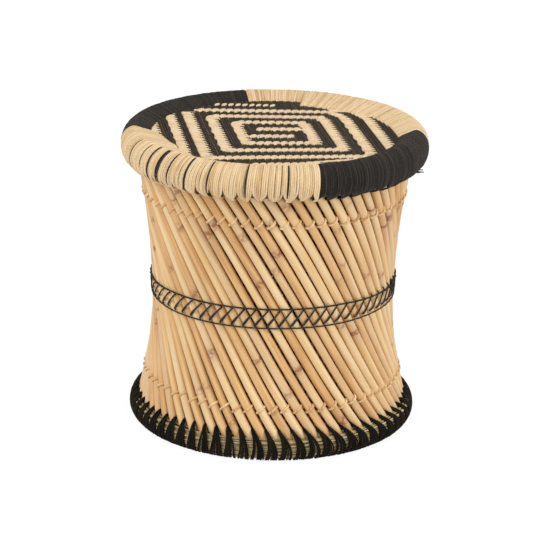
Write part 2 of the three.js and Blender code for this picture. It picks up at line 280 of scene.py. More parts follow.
# %% Cord finishes
def cord_finish(name, light, middle, dark, roughness, twist_mm, relief, gloss=0.5):
    """Twisted cord: the height is the sine of (twice the angle round it + a turn for each twist_mm along it),
    plus fibre noise."""
    material, tree, shader = new_material(name, roughness, gloss)
    strand, looks = strand_values(tree)
    cosine, sine, along = add(tree, "SeparateXYZ", {0: strand}).outputs
    round_angle = calc(tree, "ARCTAN2", sine, cosine)
    ply = calc(tree, "SINE", weigh(tree, 0.0, (round_angle, 2), (along, TURN / twist_mm)))
    fibre = noise(tree, strand, (2.2, 2.2, 0.55), 3)
    slub = noise(tree, strand, (0.4, 0.4, 0.06), 2)
    # The ply sine also makes the colour a little darker where it is low, in the grooves between the plies:
    # painted shade.
    shade = weigh(tree, -0.35, (looks[0], 0.5), (fibre, 0.4), (slub, 0.7), (ply, -0.07))
    skin = ramp(tree, shade, (0.1, light), (0.5, middle), (0.95, dark))
    tree.links.new(skin, shader.inputs["Base Color"])
    bump(tree, shader, weigh(tree, fibre, (ply, 0.5)), relief, 0.0005)
    return material


natural_cord = cord_finish(
    "natural_cord", srgb(250, 226, 186), srgb(238, 207, 160), srgb(196, 154, 104), 0.85, 5, 0.6)
seat_rope = cord_finish(
    "seat_rope", srgb(250, 229, 196), srgb(240, 212, 170), srgb(176, 132, 86), 0.85, 5, 0.6)
black_cord = cord_finish(
    "black_cord", srgb(68, 60, 53), srgb(43, 38, 33), srgb(20, 17, 14), 0.75, 4, 0.8, 0.25)
# The base lashing is black cord, but these colours are darker and browner than the rim's black cord. The
# difference is painted shade, for where the lashing shows through the gaps between the reeds.
base_black_cord_and_shade = cord_finish(
    "base_black_cord_and_shade", srgb(40, 31, 21), srgb(21, 16, 10), srgb(7, 5, 3), 0.85, 4, 0.8, 0.12)
seat_black_cord = cord_finish(
    "seat_black_cord", srgb(98, 82, 64), srgb(60, 50, 41), srgb(30, 25, 20), 0.85, 4, 0.8, 0.2)
twine_cord = cord_finish(
    "twine_cord", srgb(250, 220, 172), srgb(234, 192, 138), srgb(190, 142, 92), 0.8, 4, 0.6)
grass_stalk = cord_finish(
    "grass_stalk", srgb(208, 190, 146), srgb(182, 162, 116), srgb(132, 112, 72), 0.7, 60, 0.3)


# %% Core finish
def core_finish(name, light, dark, grain):
    """Packed stalks inside the rings: noise on Object coordinates, its scales in 1/m."""
    material, tree, shader = new_material(name, 0.9)
    packed = noise(tree, add(tree, "TexCoord").outputs["Object"], grain, 4)
    tree.links.new(ramp(tree, packed, (0.3, dark), (0.7, light)), shader.inputs["Base Color"])
    bump(tree, shader, packed, 0.7, 0.001)
    return material


hoop_core = core_finish("hoop_core", srgb(128, 92, 56), srgb(66, 44, 26), (90, 90, 500))
grass_core = core_finish("grass_core", srgb(206, 188, 144), srgb(130, 112, 74), (90, 90, 700))
for material_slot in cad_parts["base_grass_bundle"].material_slots:
    material_slot.material = grass_core
print("finishes", len(bpy.data.materials))

# %% [markdown]
# ## The reeds
# Each reed is one straight cane, yet the ring of them is waisted like an hourglass, because leaning canes on
# a circle trace one. The outer layer leans one way and the inner layer the other. A reed could be a scaled
# cylinder, but no two canes are alike: each is a tube along its path, a little thick or thin, with a swelling
# and a brown ring at each node.

# %% The path of a reed
REEDS, PANEL = 66, 6
EVERY_REED = np.arange(REEDS)[:, None]
OUTER_RADIUS, INNER_RADIUS = 5.85, 5.9
GAP = TURN / REEDS
LEAN_GAPS = 12
# Heights where the windings pass between the reeds, and heights of the reeds' own ends
RIM_PASS, BASE_PASS = 363.2, 28.8
REED_TOP, REED_FOOT = 368.2, 23.8
WAIST_Z, WAIST_R = 165, 167.5
# How far the reeds flare from the waist to each end, and the power that they flare with
RIM_FLARE, RIM_POWER, BASE_FLARE, BASE_POWER = 20.3, 2, 21.5, 1.7
# A reed's sideways bow and wave, in gaps
BOW, WAVE = 0.06, 0.025


def reach(height):
    """Radius of the reeds' outer face: the waist's radius, plus a flare times a power of the height's share
    on the way to each end."""
    above = np.clip((height - WAIST_Z) / (REED_TOP - WAIST_Z), 0, 2)
    below = np.clip((WAIST_Z - height) / (WAIST_Z - REED_FOOT), 0, 2)
    return WAIST_R + RIM_FLARE * above ** RIM_POWER + BASE_FLARE * below ** BASE_POWER


def reed_turn(height):
    """How far round a reed has turned: none at the rim pass, LEAN_GAPS gaps at the base pass."""
    return LEAN_GAPS * GAP * (RIM_PASS - height) / (RIM_PASS - BASE_PASS)


sway = draw.uniform(-1, 1, (2, REEDS, 2))


def reed_path(layer, reed, lean, inset, height):
    """Middle of a reed: reach - inset from the axis, turned by its lean and by a sway of two sine waves."""
    share = (height - BASE_PASS) / (RIM_PASS - BASE_PASS)
    bow, wave = sway[layer, reed, 0], sway[layer, reed, 1]
    aside = BOW * bow * np.sin(np.pi * share) + WAVE * wave * np.sin(TURN * share)
    return polar(reach(height) - inset, reed * GAP + lean * reed_turn(height) + aside * GAP, height)


print("reach at the ends and the waist", reach(np.array([REED_FOOT, WAIST_Z, REED_TOP])).round(1))

# %% The two layers
FIRST_NODE, NODE_SPACING = (-20, 330), (190, 280)
NODE_SAMPLES = np.array([-7, -3, -1.2, 0, 1.2, 3, 7])
SWELLING, SWELLING_LENGTH = 0.05, 2.4
LAYER_OVERLAP = 0.3


def node_marks(away):
    """Ring and stain of a reed's two nodes, from the distance to each. The ring is a flat-topped bell and a
    narrow one at its middle, the stain a wide bell, and some of the reeds are stained all along."""
    strength = draw.uniform(0.3, 1, (PANEL, 2))[:, None]
    ring = np.exp(-(away / draw.uniform(3, 6, (PANEL, 1, 2))) ** 4) + 0.4 * np.exp(-(away / 1.2) ** 2)
    stain = np.exp(-(away / draw.uniform(8, 38, (PANEL, 1, 2))) ** 2)
    everywhere = draw.uniform(-0.5, 0.6, (PANEL, 1))
    return (strength * ring).max(-1), np.maximum((stain * strength).max(-1), everywhere)


def reed_panel(layer, panel, lean, inset, radius, sides, steps):
    """Six reeds with their nodes. Samples crowd round each node, where the radius swells by a bell curve."""
    reeds = np.arange(PANEL)[:, None] + panel * PANEL
    first = draw.uniform(*FIRST_NODE, (PANEL, 1))
    nodes = first + draw.uniform(*NODE_SPACING, (PANEL, 1)) * np.array([0, 1])
    even = np.broadcast_to(np.linspace(REED_FOOT, REED_TOP, steps), (PANEL, steps))
    height = np.hstack([even, (nodes[..., None] + NODE_SAMPLES).reshape(PANEL, -1)])
    height = np.sort(np.clip(height, REED_FOOT, REED_TOP + np.arange(height.shape[1]) * 0.001), axis=1)
    path = reed_path(layer, reeds, lean, inset, height)
    above, below = (reed_path(layer, reeds, lean, inset, height + shift) for shift in (0.5, -0.5))
    away = np.abs(height[..., None] - nodes[:, None])
    ring, stain = node_marks(away)
    swelling = 1 + SWELLING * np.exp(-(away / SWELLING_LENGTH) ** 2).max(-1)
    thick = radius * draw.uniform(0.93, 1.06, (PANEL, 1)) * swelling
    tone = draw.uniform(0, 1, (PANEL, 1))
    out = outward(np.arctan2(path[..., 1], path[..., 0]))
    return tube(path, thick, thick, out, sides, travel=above - below, look=(tone, ring, stain))


for panel in range(REEDS // PANEL):
    number = f"{panel + 1:02d}"
    outer = reed_panel(0, panel, 1, OUTER_RADIUS, OUTER_RADIUS, 12, 40)
    inner = reed_panel(1, panel, -1, 2 * OUTER_RADIUS + INNER_RADIUS - LAYER_OVERLAP, INNER_RADIUS, 8, 30)
    piece(f"outer_canes_{number}", [outer], outer_reed_skin, "outer_reed", f"outer_reeds_{number}")
    piece(f"inner_canes_{number}", [inner], inner_reed_painted_shade, "inner_reed", f"inner_reeds_{number}")

# %% [markdown]
# ## The bound rim
# Cord goes round the rim hundreds of times. Every few turns pass through the same gap between two reeds, so
# they draw together below the rim into a bunch and spread again over its top. One long spiral would be truer,
# but closed turns look the same and are simpler: each is a loop on a rounded outline, and its angle is mixed
# between its own place and its gap's middle. The cord is natural at the front and back and black at the
# sides, with single black turns at the left front.

# %% A turn of cord round an outline
TURN_STEPS = 40
# Where a turn can reach inward, and where its top can drop: from a radius or height to another
INNER_SIDE, UPPER_SIDE, TOP_SIDE = (190, 170), (375, 390), (378, 405)
UNEVEN = 0.16


def smooth_loop(points, steps):
    """A closed curve through points: Catmull-Rom, a cubic between each two, from the two beside them."""
    points = np.asarray(points, float)
    place = np.arange(steps) * len(points) / steps
    index = place.astype(int)
    t = (place - index)[:, None]
    a, b, c, d = (points[(index + shift) % len(points)] for shift in (-1, 0, 1, 2))
    return b + t / 2 * (c - a + t * (2 * a - 5 * b + 4 * c - d + t * (3 * (b - c) + d - a)))


def by_gap(angles, low, high):
    """One random number for each gap, given to all of its turns."""
    return draw.uniform(low, high, REEDS)[np.floor(angles / GAP).astype(int) % REEDS]


def turns(outline, angles, gather, thick, flat, drift=0.0, lump=0.0, pinch=1.0, rise=0.0, follow=0.0,
          inward=0.0, drop=0.0):
    """Loops of cord on an outline of radius, height, spread and lag. A place's angle is gap middle + (own
    angle - gap middle) * spread + drift * lag. gather is the least spread, pinch is a power on the spread,
    rise lifts the gathered part, follow lets it lean with the reeds, inward draws the upper inner side to the
    middle of the seat, drop lowers the top, and lump is a share of the thickness that comes and goes."""
    angles, gather, drift, pinch, rise, inward, drop = (
        np.reshape(value, (-1, 1)) for value in (angles, gather, drift, pinch, rise, inward, drop))
    count = len(angles)
    radius, height, spread, lag = smooth_loop(outline, TURN_STEPS).T
    radius = radius - inward * fade(radius, *INNER_SIDE) * fade(height, *UPPER_SIDE)
    spread = np.clip(spread, 0, 1) ** pinch
    height = height + rise * (1 - spread) - drop * fade(height, *TOP_SIDE)
    lean = follow * (1 - spread) * (reed_turn(height) - reed_turn(BASE_PASS))
    spread = gather + (1 - gather) * spread
    middle = (np.floor(angles / GAP) + 0.5) * GAP
    round_angle = middle + (angles - middle) * spread + drift * GAP * lag + lean
    push = draw.normal(0, UNEVEN, (count, 1))
    centre_r, centre_z = radius.mean(), height.mean()
    reach_out = np.hypot(radius - centre_r, height - centre_z)
    radius = radius + push * (radius - centre_r) / reach_out
    height = height + push * (height - centre_z) / reach_out
    path = polar(radius, round_angle, height)
    out = polar(radius - centre_r, round_angle, height - centre_z)
    share = TURN * np.arange(TURN_STEPS) / TURN_STEPS
    waves = sum(np.sin(share * cycles + draw.uniform(0, 9, (count, 1))) for cycles in (3, 7))
    thick = thick * draw.uniform(0.92, 1.06, (count, 1)) * (1 + lump * waves / 2)
    return tube(path, thick, thick * flat, out, 6, closed=True, look=(draw.uniform(0, 1, (count, 1)), 0, 0))


# %% The rim's outline and how it varies round the stool
# Radius, height, spread and lag, from the pass between the reeds up the outside and down the inside
rim_outline = [
    (190.4, 362.6, 0, 0), (204.3, 372.2, 0.88, 0.1), (208.8, 388, 1, 0.35), (204.8, 404, 1, 0.7),
    (193.5, 413.0, 1, 1), (182.5, 409.4, 1, 1), (169.6, 402.4, 1, 0.9), (164.4, 392, 1, 0.6),
    (163.6, 364, 0, 0), (172, 361.6, 0, 0), (182, 361.4, 0, 0),
]
REACH_DEGREES = [181, 188, 205, 222, 228, 355, 378, 394, 411, 424, 436.6, 436.8]
REACH_INWARD = [9, 15, 18, 3, 0, 2, 9, 9, 19, 22, 20, 0]


def rim_lean(angles):
    """How far a turn's top lies ahead of its foot, in gaps: most at the left, where the winding began."""
    return np.interp(np.degrees(angles), [225, 248, 262, 495, 541], [4.5, 1.7, 0.8, 0, 4.5]) / np.degrees(GAP)


def rim_reach(angles):
    """How far the natural turns reach over the seat: most at the left and at the right back."""
    return np.interp(np.degrees(angles), REACH_DEGREES, REACH_INWARD)


def rim_drop(angles):
    """How much lower the rim's top is: at the front only."""
    return np.interp(np.degrees(angles), [222, 240, 300, 325], [0, 2.7, 2.7, 0])


# %% The hoop inside the rim
# Radius, height and thickness of each ring of the padded bundle under the cord
hoop_rings = [(174.5, 397.5, 7), (184, 400.5, 8), (193, 404, 8), (197.3, 394, 8), (197, 381, 7.5),
              (195, 374, 6.5), (189, 372, 6.5), (176, 376, 7.5), (174.5, 386.5, 7), (186, 388, 9)]
HOOP_POINTS = 180


def hoop_stalks():
    """A thick closed ring for each row of hoop_rings, lowered at the front as the rim's top is."""
    radius, height, thick = np.array(hoop_rings).T[..., None]
    angle = np.broadcast_to(TURN * np.arange(HOOP_POINTS) / HOOP_POINTS, (len(hoop_rings), HOOP_POINTS))
    height = height - rim_drop(angle) * fade(height, 378, 398)
    return tube(polar(radius, angle, height), thick, thick, outward(angle), 10, closed=True)


piece("rim_hoop_stalks", [hoop_stalks()], hoop_core, "natural_cord", "rim_hoop")

# %% The rim's front section
# Pitch, thickness, flatness, finish and slot of each cord
NATURAL = (GAP / 7, 1.45, 0.85, natural_cord, "natural_cord")
BLACK = (GAP / 10, 1.05, 1.1, black_cord, "black_cord")
FRONT_FROM, RIGHT_FROM, BACK_FROM, LEFT_FROM, LEFT_TO = 181, 286.8, 355, 463.5, 541
RIM_GATHER, RIM_PINCH, RIM_RISE = 0.26, (0.8, 4), (-1.6, 1.6)
PLACE_JITTER = 0.07


def section(first, last, pitch):
    """Angles of a section's turns, one pitch apart, each set off by a small random share."""
    angles = np.radians(first) + pitch * (np.arange(int(np.radians(last - first) / pitch)) + 0.5)
    return angles + draw.normal(0, PLACE_JITTER, len(angles)) * pitch


def bind_rim(name, first, last, cord, lump=0.08, leans=False, reaches=False):
    """One section of the rim, from one angle to another, with cord of one colour."""
    pitch, thick, flat, finish, slot = cord
    angles = section(first, last, pitch)
    bound = turns(rim_outline, angles, RIM_GATHER, thick, flat, rim_lean(angles) if leans else 0, lump=lump,
                  pinch=by_gap(angles, *RIM_PINCH), rise=by_gap(angles, *RIM_RISE),
                  inward=rim_reach(angles) if reaches else 0, drop=rim_drop(angles))
    piece(f"rim_cord_{name}", [bound], finish, slot, f"rim_wrap_{name}")


bind_rim("front", FRONT_FROM, RIGHT_FROM, NATURAL, lump=0.1, leans=True, reaches=True)

# %% Single black turns at the front
# Beyond the radius OUTSIDE a black turn stands proud of the natural ones, and on the inner side it dips
OUTSIDE, PROUD_OUT, PROUD_UP = 192, 0.9, 0.5
INNER_TOP, INNER_DIP = 380, 3
accent_outline = np.array(rim_outline)
accent_radius, accent_height = accent_outline[:, 0], accent_outline[:, 1]
outside = accent_radius > OUTSIDE
accent_height += np.where(outside, PROUD_UP, -INNER_DIP * (accent_height > INNER_TOP))
accent_radius += PROUD_OUT * outside
accents = np.radians([202, 210.3, 215.8, 221.0, 221.8, 227.0, 235.2, 244.8, 259.5, 274.6])
accent_thick = np.array([0.8, 0.5, 1.25, 1.45, 1.45, 1.45, 1.4, 1.25, 1.35, 1.3])[:, None]
accent_taper = np.interp(np.arange(TURN_STEPS), [0, 4, 8, 12, 17, 39], [0.6, 0.95, 1.1, 0.95, 0.5, 0.4])
accent_turns = turns(accent_outline, accents, 0.85, accent_thick * accent_taper, 1.1, rim_lean(accents),
                     drop=rim_drop(accents))
piece("rim_cord_accents", [accent_turns], black_cord, "black_cord")

# %% The rim's other sections
bind_rim("right", RIGHT_FROM, BACK_FROM, BLACK)
bind_rim("back", BACK_FROM, LEFT_FROM, NATURAL, reaches=True)
bind_rim("left", LEFT_FROM, LEFT_TO, BLACK, leans=True)

# %% [markdown]
# ## The base ring
# The foot is a ring of grass stalks, lashed to the reed ends with black cord. A finish on a plain ring could
# stand for the stalks, but its edge would be too smooth, so each stalk is a long arc on the ring's outline,
# and arcs overlap. The lashing leaves each gap between two reeds as one bunch and fans out over the grass:
# it is tight at the sides, and lets the straw show at the front.

# %% Grass stalks
base_outline = [(164.5, 28), (164.5, 15), (171.4, 2.4), (191.5, 2.4), (197.4, 15), (191.2, 28.6)]
STALKS, ARC_POINTS, LANES = 120, 64, 480
LANE_WANDER = 26
RING_HALF = 12


def grass_stalks():
    """Arcs round the base: each starts at a random angle and keeps to a lane of the outline, which wanders
    by a sine, a little deeper or less deep under its surface. The thickness is a flat sine."""
    outline = smooth_loop(base_outline, LANES)
    start = draw.uniform(0, TURN, (STALKS, 1))
    sweep = draw.uniform(1.6, 3.2, (STALKS, 1))
    share = np.linspace(0, 1, ARC_POINTS)
    lane = np.arange(STALKS)[:, None] * LANES / STALKS * 2
    lane = lane + LANE_WANDER * np.sin(TURN * share + start) * draw.uniform(0, 1, (STALKS, 1))
    whole = lane.astype(int)
    part = (lane - np.floor(lane))[..., None]
    place = outline[whole % LANES] * (1 - part) + outline[(whole + 1) % LANES] * part
    middle = outline.mean(0)
    depth = draw.uniform(0.3, 1.4, (STALKS, 1, 1))
    from_middle = (place - middle) * (1 - depth / RING_HALF)
    radius, height = np.moveaxis(middle + from_middle, -1, 0)
    angle = start + sweep * share
    out = polar(radius - middle[0], angle, height - middle[1])
    thick = draw.uniform(0.9, 1.4, (STALKS, 1)) * np.sin(np.pi * np.clip(share, 0.02, 0.98)) ** 0.2
    tone = draw.uniform(0, 1, (STALKS, 1))
    return tube(polar(radius, angle, height), thick, thick, out, 6, look=(tone, 0, 0))


piece("base_grass_stalks", [grass_stalks()], grass_stalk, "grass")

# %% Base lashing
lashing_outline = [
    (165.5, 33, 0.2, 0), (163.4, 16, 0.9, 0), (169.5, 3.2, 1, 0.5), (181, 2.15, 1, 0.9),
    (193.8, 2.2, 1, 1), (199.1, 12, 0.83, 1), (197.6, 22.8, 0.58, 0.7), (192.8, 30.2, 0.32, 0.35),
    (186.8, 35, 0.08, 0.1), (179.5, 37, 0, 0), (172, 35, 0, 0),
]
BASE_SECTIONS, CORDS_A_GAP = 3, 8
SECTION_GAPS = REEDS // BASE_SECTIONS
LASHING_THICK = 1.15
# Share of a gap that its cords take, what the front takes off, and half of the opening that parts them there
SIDE_SHARE, FRONT_LESS, PARTING = 0.9, 0.14, 0.075
# Lift of the gathered part at the sides, what the front adds to it, and how uneven it is
SIDE_RISE, FRONT_RISE, UNEVEN_RISE = -3.4, 5.6, 0.5
# Least spread at the sides, what the front takes off, and what the back adds
SIDE_GATHER, FRONT_TIGHTER, FAR_WIDER = 0.22, 0.1, 0.6


def lashing(first_gap, gaps):
    """Angles of the base cords. A gap's cords take a share of it: nearly all at the sides, less at the front,
    where they also part in two."""
    gap_middle = (first_gap + np.arange(gaps) + 0.5)[:, None] * GAP
    frontness = fade(-np.sin(gap_middle), 0.72, 0.92)
    spread = SIDE_SHARE - FRONT_LESS * frontness * draw.uniform(0.3, 1.8, (gaps, 1))
    slots = np.linspace(-0.5, 0.5, CORDS_A_GAP) * spread
    split = draw.integers(2, CORDS_A_GAP - 1, (gaps, 1))
    parted = np.where(np.arange(CORDS_A_GAP) < split, -PARTING, PARTING)
    slots = slots * (1 - 0.12 * frontness) + parted * frontness
    return (gap_middle + np.clip(slots, -0.49, 0.49) * GAP).ravel()


def base_drift(angles):
    """How far a bunch's foot lies from its top, in gaps: back a little at the left, ahead at the right."""
    return 0.05 + 0.2 * np.cos(angles) + draw.normal(0, 0.03, len(angles))


for number in range(BASE_SECTIONS):
    angles = lashing(number * SECTION_GAPS, SECTION_GAPS)
    front_share, far_share = fade(-np.sin(angles), 0.6, 1), fade(np.sin(angles), -0.35, -0.05)
    rise = SIDE_RISE + FRONT_RISE * front_share + draw.normal(0, UNEVEN_RISE, len(angles))
    gather = SIDE_GATHER - FRONT_TIGHTER * front_share + FAR_WIDER * far_share
    loops = turns(lashing_outline, angles, gather, LASHING_THICK, 1.0, base_drift(angles), rise=rise,
                  follow=1)
    piece(f"base_cord_{number + 1}", [loops], base_black_cord_and_shade, "black_cord", f"base_wrap_{number + 1}")

# %% [markdown]
# ## The woven seat
# The seat is a cot weave: natural strands run across and black strands run front to back. Wherever one set
# lies over the other, its colour shows, and that alone draws the nested rectangles. A disc with a pattern
# would look flat, so here the pattern is a height: a function says which set is on top, and each strand
# climbs and dives by it. Along a rectangle's front and back, doubled strands in slanted floats make a rope.

# %% Rings of the seat
SEAT_Z, LIFT, SEAT_R = 400.9, 1.35, 170
NATURAL_STEP, BLACK_STEP = 2.9, 3.3
SEAT_CENTRE = np.array([1.1, -3.4])
SIDE_LEAN, TILT, TILT_CHANGE = math.radians(9.3), 2.4, -0.024
HALF_WIDE, HALF_DEEP = 47.5, 53.3
# From one rectangle to the next: at the left and right, and at the front and back
WIDE_STEPS, DEEP_STEPS = (30.4, 31.3), (34.2, 31.3)
# Bars inside the smallest rectangle: where each lies, its left and right ends, and the room round them
BARS = ((17.8, -24, 60), (-18.9, -60, 22))
BAR_MARGIN = 9


def weave_point(u, v):
    """Seat centre + u along the natural strands + v along the black ones, which cross a little askew."""
    slope = np.radians(TILT + TILT_CHANGE * v)
    return (SEAT_CENTRE[0] + u * np.cos(slope) - v * math.sin(SIDE_LEAN),
            SEAT_CENTRE[1] + u * np.sin(slope) + v * math.cos(SIDE_LEAN))


def drawn_in(u, v):
    """u moved outward where the sides of the rectangles lie nearer to the middle: at the right back, by a
    power of how far back, and at the far left."""
    right = u + 11 * np.clip((v - 72) / 44, 0, 1.3) ** 1.6
    return np.where(u > 0, right, u - 5 * fade(-u, 117, 129))


# %% Which strand is on top
CORNER_ROUND, CORNER_SPAN = 0.13, 0.55
# Half widths of a natural band: at the sides, at the front and back, and how much more near a corner
SIDE_HALF, END_HALF, CORNER_MORE = 7.8, 4.2, 3.4
# How far each natural row, of four in turn, reaches past the outer edge of a side, and a slow wave in it
TOOTH = np.array([1.2, 0.4, -2.0, -5.2])
TOOTH_WAVE, TOOTH_WAVE_LENGTH = 0.4, 31
# How far a strand takes to climb or dive
CLIMB = 1.2
# Where one set shows alone: black at the far left and at the back, natural at the right back
BLACK_LEFT, BLACK_LEFT_FROM, BLACK_BACK_FROM = -97, 106, 128
NATURAL_RIGHT, NATURAL_RIGHT_FROM = 110, 119
# The natural strip at the front: its ends, its half width, and its middle's place and slope
STRIP_LEFT, STRIP_RIGHT, STRIP_HALF, STRIP_V, STRIP_SLOPE = 16, 93, 4, -147, 0.209


def bands(u, v):
    """Distance inside the nearest rectangle's band, and whether that is at its side. A rectangle is where
    the larger of the side distances, in steps, is a whole number. A bump where both are alike rounds it."""
    wide_step, deep_step = np.where(u < 0, *WIDE_STEPS), np.where(v < 0, *DEEP_STEPS)
    across, deep = (np.abs(u) - HALF_WIDE) / wide_step, (np.abs(v) - HALF_DEEP) / deep_step
    at_side = across > deep
    corner = np.clip(1 - np.abs(across - deep) / CORNER_SPAN, 0, 1) ** 2
    ring = np.maximum(across, deep) + CORNER_ROUND * corner
    whole = np.round(np.maximum(ring, 0))
    offset = (ring - whole) * np.where(at_side, wide_step, deep_step)
    row = (np.round(v / NATURAL_STEP) % len(TOOTH)).astype(int)
    tooth = np.where(u * offset > 0, TOOTH[row], 0) + TOOTH_WAVE * np.sin(TURN * v / TOOTH_WAVE_LENGTH)
    end_half = END_HALF + CORNER_MORE * fade(np.abs(u) - HALF_WIDE - wide_step * whole, -10, -6)
    return np.where(at_side, SIDE_HALF + tooth, end_half) - np.abs(offset), at_side & (ring > -0.3)


def natural_on_top(u, v):
    """From -1, black on top, to 1, natural on top: the bands, then the parts near the rim where one set shows
    alone, then the bars and the strip at the front, each the distance inside it."""
    u = drawn_in(u, v)
    inside, at_side = bands(u, v)
    inside = np.where((v > BLACK_LEFT_FROM) & (u < BLACK_LEFT) | (v > BLACK_BACK_FROM), -CLIMB, inside)
    inside = np.where((v > NATURAL_RIGHT_FROM) & (u > NATURAL_RIGHT), CLIMB, inside)
    for bar, left, right in BARS:
        in_middle = (np.abs(u) < HALF_WIDE) & (np.abs(v) < HALF_DEEP - BAR_MARGIN)
        in_bar = np.minimum(END_HALF - np.abs(v - bar), np.minimum(u - left, right - u))
        inside = np.where(in_middle, np.maximum(inside, in_bar), inside)
    off_strip = np.abs(v - STRIP_V - STRIP_SLOPE * (u - 20))
    in_strip = np.minimum(STRIP_HALF - off_strip, np.minimum(u - STRIP_LEFT, STRIP_RIGHT - u))
    inside = np.where(v < -130, np.maximum(inside, in_strip), inside)
    return np.clip(inside / CLIMB, -1, 1), at_side


# %% Strands of the seat
FLOAT_STEP = 10
STRAND_DEEP, LUMP = 1.1, 0.4
FEWEST_POINTS = 4
BEYOND = SEAT_R + 6


def rows(step):
    """Numbers of the strands that may cross the seat, one step apart."""
    return range(-int(BEYOND / step), int(BEYOND / step) + 1)


def seat_strand(fixed, along_u, wide, sign, step):
    """One strand from rim to rim: its height is the seat's middle + sign * lift * natural_on_top. Between the
    sides of a rectangle a black strand is lumpy: a cosine with the floats' step."""
    run = np.arange(-BEYOND, BEYOND, step)
    u, v = (run, np.full_like(run, fixed)) if along_u else (np.full_like(run, fixed), run)
    x, y = weave_point(u, v)
    inside = np.hypot(x, y) < SEAT_R
    u, v, x, y = u[inside], v[inside], x[inside], y[inside]
    if len(u) < FEWEST_POINTS:
        return None
    top, at_side = natural_on_top(u, v)
    lump = np.where(at_side, 0, np.cos(TURN * (u / FLOAT_STEP + 0.5))) * (sign < 0)
    path = np.stack([x, y, SEAT_Z + sign * LIFT * top + LUMP * lump], -1)[None]
    return tube(path, wide, STRAND_DEEP, (0, 0, 1.0), 5, look=(draw.uniform(0.2, 0.8), 0, 0))


natural = [seat_strand(row * NATURAL_STEP, True, 1.5, 1, 1.9) for row in rows(NATURAL_STEP)]
black = [seat_strand(row * BLACK_STEP, False, 1.6, -1, 1.7) for row in rows(BLACK_STEP)]
piece("seat_natural_strands", [strand for strand in natural if strand], seat_rope, "seat_rope", "seat_web")
piece("seat_black_strands", [strand for strand in black if strand], seat_black_cord, "black_cord")

# %% Places of the floats
RECTANGLES = 4
# Left and right ends of the two outer rows at the back, which are shorter than their rectangles
BACK_ENDS = {2: (-88, 96.1), 3: (-80, 18)}


def float_places():
    """Middles of the floats, one FLOAT_STEP apart: along each rectangle's front row, side -1, and back row,
    side 1, from 7 mm inside its left edge to 3 mm inside its right one, and along the two bars."""
    lines = []
    for ring in range(RECTANGLES):
        ends = -HALF_WIDE - WIDE_STEPS[0] * ring + 7, HALF_WIDE + WIDE_STEPS[1] * ring - 3
        for side, deep_step in zip((-1, 1), DEEP_STEPS):
            left, right = BACK_ENDS.get(ring, ends) if side > 0 else ends
            middles = np.linspace(left, right, round((right - left) / FLOAT_STEP) + 1)
            lines.append((middles, side * (HALF_DEEP + deep_step * ring)))
    half = HALF_WIDE - BAR_MARGIN
    for bar, left, right in BARS:
        lines.append((np.arange(max(left, -half) + FLOAT_STEP / 2, min(right, half), FLOAT_STEP), bar))
    places = np.concatenate([np.stack([middles, np.full_like(middles, v)], -1) for middles, v in lines])
    x, y = weave_point(*places.T)
    return places[np.hypot(x, y) < SEAT_R - 4]


# %% Rope-like floats
FLOAT_HALF, FLOAT_SLANT, FLOAT_SPACING, FLOAT_THICK = 9.8, 3.9, 3.6, 1.75
STRANDS_A_FLOAT = 3
# Behind this place the floats are short, narrow stitches
STITCHES_FROM, STITCH_SHARE = 140, 0.5


def rope_floats():
    """Three strands side by side for each float, on a slant. They draw together at both ends, by a power of
    the share of the way, where they also dive, and the middle one stands a little higher."""
    middles = float_places()
    count = len(middles) * STRANDS_A_FLOAT
    share = np.linspace(-1, 1, 9)
    beside = np.tile(np.arange(STRANDS_A_FLOAT) - 1.0, len(middles))[:, None]
    middles = np.repeat(middles, STRANDS_A_FLOAT, axis=0) + draw.normal(0, 0.25, (count, 2))
    middle_u, middle_v = middles[:, :1], middles[:, 1:]
    loose = np.where(middle_v > STITCHES_FROM, STITCH_SHARE, 1)
    u = middle_u + FLOAT_SLANT * share + FLOAT_SPACING * loose * beside * (1 - 0.9 * np.abs(share) ** 1.4)
    v = middle_v + FLOAT_HALF * share * draw.uniform(0.92, 1.06, (count, 1)) * (0.4 + 0.6 * loose)
    x, y = weave_point(u, v)
    z = SEAT_Z + 0.5 + (1.8 - 0.3 * np.abs(beside)) * (1 - share ** 4)
    thick = FLOAT_THICK * (1 - 0.3 * share ** 2)
    tone = draw.uniform(0.1, 0.6, (count, 1))
    return tube(np.stack([x, y, z], -1), thick, thick * 0.85, (0, 0, 1.0), 6, look=(tone, 0, 0))


piece("seat_natural_floats", [rope_floats()], seat_rope, "seat_rope")

# %% [markdown]
# ## The laced waist
# Two black cords go round the waist. Between them a thin cord crosses each reed once, from the gap at its
# left up to the upper cord, and is knotted there. It could be one long path, but its hidden parts would have
# to thread through the reeds. So each stroke is a short tube that dives between two reeds at both ends.

# %% Cords round the reeds
WAIST_LOW, WAIST_HIGH = 179.7, 206.8
HOOP_SEAM = 1.6
UPPER_HANG, LOWER_LIFT = 3.4, 1.2


def sag(angle):
    """How much the cord hangs: nothing at the front, 1 at the far right, a little less at the far left."""
    return fade(np.cos(angle), 0.55, 0.95) + 0.8 * fade(-np.cos(angle), 0.8, 1)


def hoop_cord(height, off, thick, points=264, wave=0.0, hang=0.0):
    """A cord round the reeds: reach at its height + off, drawn in by wave between two reeds."""
    angle = TURN * np.arange(points) / points + HOOP_SEAM
    over = np.cos((angle - reed_turn(height)) * REEDS)
    hung = height + 0.25 * np.sin(3 * angle) - hang * sag(angle)
    path = polar(reach(height) + off + wave * (over - 1) / 2, angle, hung)[None]
    return tube(path, thick, thick, outward(angle), 6, closed=True)


# %% Strokes between the cords
STROKE_OFF, STROKE_DIVE = 1.6, 2.6


